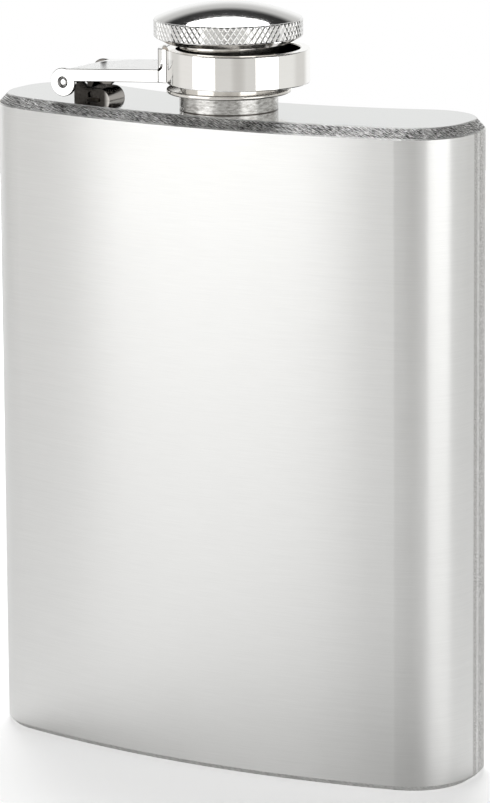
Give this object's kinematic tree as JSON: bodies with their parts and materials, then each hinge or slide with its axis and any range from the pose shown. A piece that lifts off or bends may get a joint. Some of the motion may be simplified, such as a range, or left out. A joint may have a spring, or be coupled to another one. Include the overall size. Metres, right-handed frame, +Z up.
{
  "type": "hip flask",
  "caption": "Flat curved steel hip flask with a knurled screw cap held by a ring on a hinged arm, opening over the end.",
  "frame": {"origin": "bottom centre of the bounding box, on the base plate", "axes": "+Z up through the neck, +X towards the side seam end, away from the hinge; the convex front faces -Y"},
  "size_m": [0.095, 0.031, 0.1365],
  "materials": {
    "brushed_body": "fine brushed stainless steel, horizontal grain",
    "ground_weld": "coarsely ground stainless weld",
    "polished_plate": "mirror-polished stainless sheet",
    "turned_neck": "turned stainless steel, fine satin",
    "polished_hinge": "polished stainless sheet",
    "heat_tinted_weld": "bare weld bead with light heat tint",
    "polished_ring": "mirror-polished stainless band",
    "knurled_cap": "polished stainless, diamond knurl on the rim",
    "polished_cap": "polished stainless",
    "sealing_liner": "soft off-white silicone"
  },
  "bodies": {
    "flask": {"body_shell": "brushed_body", "side_seam_weld": "ground_weld", "top_plate": "polished_plate", "top_rim_weld": "ground_weld", "base_plate": "polished_plate", "base_rim_weld": "ground_weld", "neck": "turned_neck", "neck_collar": "turned_neck", "neck_weld": "ground_weld", "hinge_bracket": "polished_hinge", "bracket_welds": "heat_tinted_weld", "hinge_pin": "polished_hinge"},
    "arm": {"hinge_arm": "polished_hinge", "cap_ring": "polished_ring", "ring_welds": "heat_tinted_weld"},
    "liner": {"cap_liner": "sealing_liner"},
    "cap": {"cap_head": "knurled_cap", "cap_base": "polished_cap", "cap_stem": "polished_cap", "cap_lip": "polished_cap"}
  },
  "joints": [
    {"name": "arm_swing", "type": "hinge", "parent": "flask", "child": "arm", "pos_m": [-0.0287, -0.00237, 0.12105], "axis": [0, -1, 0], "range_deg": [0, 165]},
    {"name": "cap_lift", "type": "slide", "parent": "arm", "child": "liner", "axis": [0, 0, 1], "range_m": [0, 0.0011]},
    {"name": "cap_turn", "type": "hinge", "parent": "liner", "child": "cap", "pos_m": [0.0015, -0.00237, 0.1255], "axis": [0, 0, 1], "range_deg": [0, 360]}
  ],
  "couplings": [
    {"joint": "cap_lift", "follows": "cap_turn", "m_per_rad": 0.000175}
  ]
}
